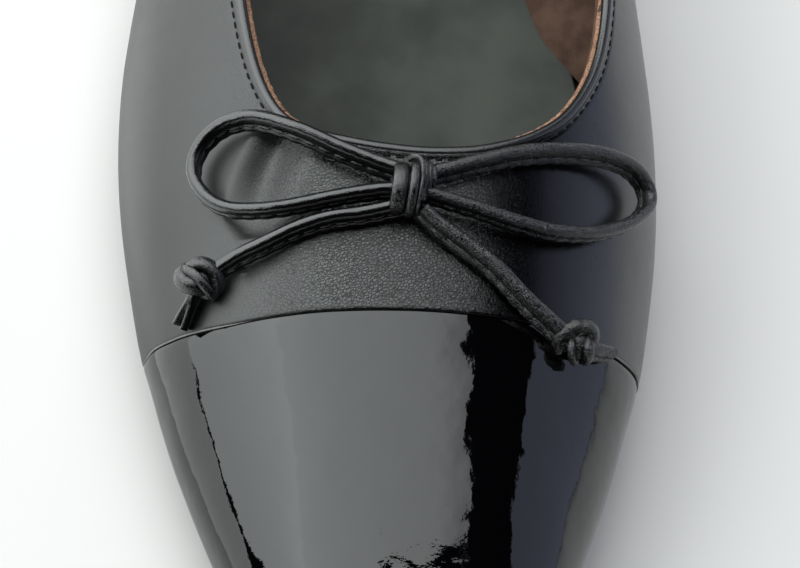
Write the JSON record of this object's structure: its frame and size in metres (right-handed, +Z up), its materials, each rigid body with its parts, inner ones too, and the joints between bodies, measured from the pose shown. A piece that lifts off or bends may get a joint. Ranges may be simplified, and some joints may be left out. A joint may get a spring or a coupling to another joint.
{
  "type": "ballet flat",
  "caption": "Low women's flat shoe with a round throat, a glossy toe cap, a rolled topline, a thin sole with a low heel and a knotted lace bow.",
  "frame": {"origin": "on the floor, at the middle of the upper's box in plan", "axes": "+Z up, -Y towards the toe, +Y towards the heel, +X the inner (medial) side of a right shoe"},
  "size_m": [0.0814, 0.2501, 0.059],
  "materials": {
    "vamp_leather": "black fine-grained calf leather with a satin sheen",
    "patent_leather": "black patent leather with a mirror-like clear coat",
    "rolled_edge": "narrow black leather roll, satin",
    "outsole_leather": "thin stained leather sole, matt underside and waxed edge",
    "heel_leather": "low stacked heel, black stained and waxed",
    "lift_rubber": "black moulded rubber, matt",
    "insole_leather": "dark grey smooth sock leather",
    "lace_leather": "folded black leather strip, stitched along its edge, semi-gloss"
  },
  "bodies": {
    "root": {"bow_knot": "lace_leather", "bow_loop_left": "lace_leather", "bow_loop_right": "lace_leather", "bow_tail_left": "lace_leather", "bow_tail_right": "lace_leather", "heel": "heel_leather", "insole": "insole_leather", "outsole": "outsole_leather", "tail_end_left": "lace_leather", "tail_end_right": "lace_leather", "tail_knot_left": "lace_leather", "tail_knot_right": "lace_leather", "toe_cap": "patent_leather", "top_lift": "lift_rubber", "topline_roll": "rolled_edge", "upper": "vamp_leather"}
  },
  "joints": []
}
